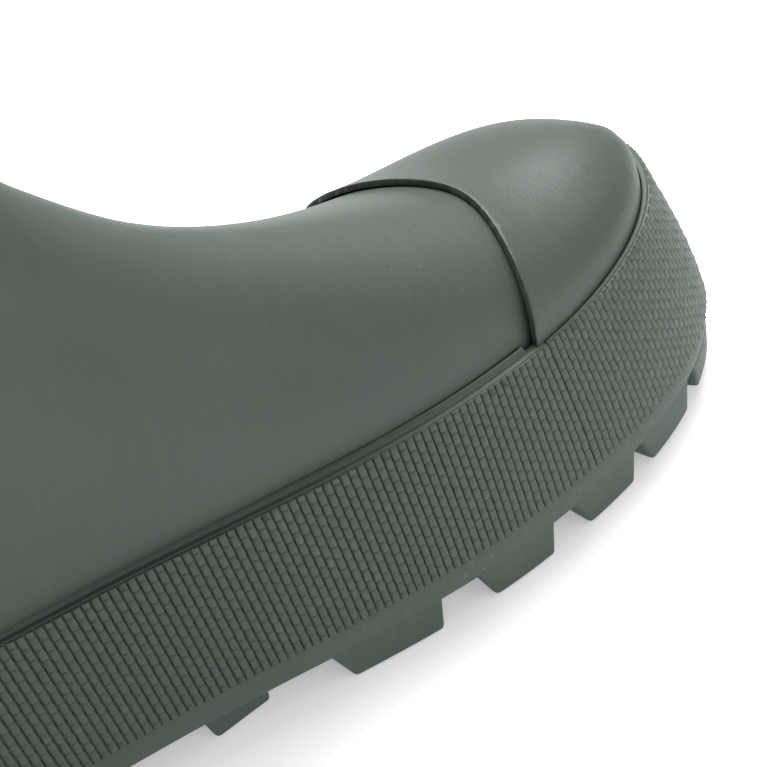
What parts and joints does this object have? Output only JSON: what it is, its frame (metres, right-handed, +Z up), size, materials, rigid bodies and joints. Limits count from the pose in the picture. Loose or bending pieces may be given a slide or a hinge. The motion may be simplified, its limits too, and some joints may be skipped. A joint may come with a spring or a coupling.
{
  "type": "rubber rain boot",
  "caption": "Knee-height rubber rain boot for the left foot, with a toe cap, a textured foxing band, a lugged sole and a lift-out footbed.",
  "frame": {"origin": "on the ground, under the middle of the boot's length and width", "axes": "+X towards the toe, +Y towards the outer side of this left boot, +Z up the leg"},
  "size_m": [0.3146, 0.1134, 0.39],
  "materials": {
    "rubber_upper": "matte, dark grey-green",
    "rubber_sole": "matte, dark grey-green",
    "lining_fabric": "knitted cotton and polyester",
    "stiffener": "resin-filled non-woven",
    "board": "pressed fibre",
    "cork": "ground cork",
    "steel": "rolled spring steel",
    "foam": "closed-cell foam",
    "knit": "brushed knit"
  },
  "bodies": {
    "boot": {"outsole": "rubber_sole", "heel_block": "rubber_sole", "sole_filler": "cork", "shank": "steel", "insole_board": "board", "foot_lining": "lining_fabric", "leg_lining": "lining_fabric", "toe_puff": "stiffener", "heel_counter": "stiffener", "vamp": "rubber_upper", "leg": "rubber_upper", "ankle_band": "rubber_upper", "toe_cap": "rubber_upper", "heel_cap": "rubber_upper", "back_strip_lower": "rubber_upper", "back_strip_upper": "rubber_upper", "kick_spur": "rubber_upper", "top_binding": "rubber_upper", "gum_strip": "rubber_upper", "foxing_toe": "rubber_upper", "foxing_medial": "rubber_upper", "foxing_lateral": "rubber_upper", "foxing_heel": "rubber_upper"},
    "footbed": {"footbed_foam": "foam", "footbed_cover": "knit"}
  },
  "joints": [
    {"name": "footbed_lift", "type": "hinge", "parent": "boot", "child": "footbed", "pos_m": [0.1277, 0, 0.0205], "axis": [0, 1, 0], "range_deg": [0, 10]}
  ]
}
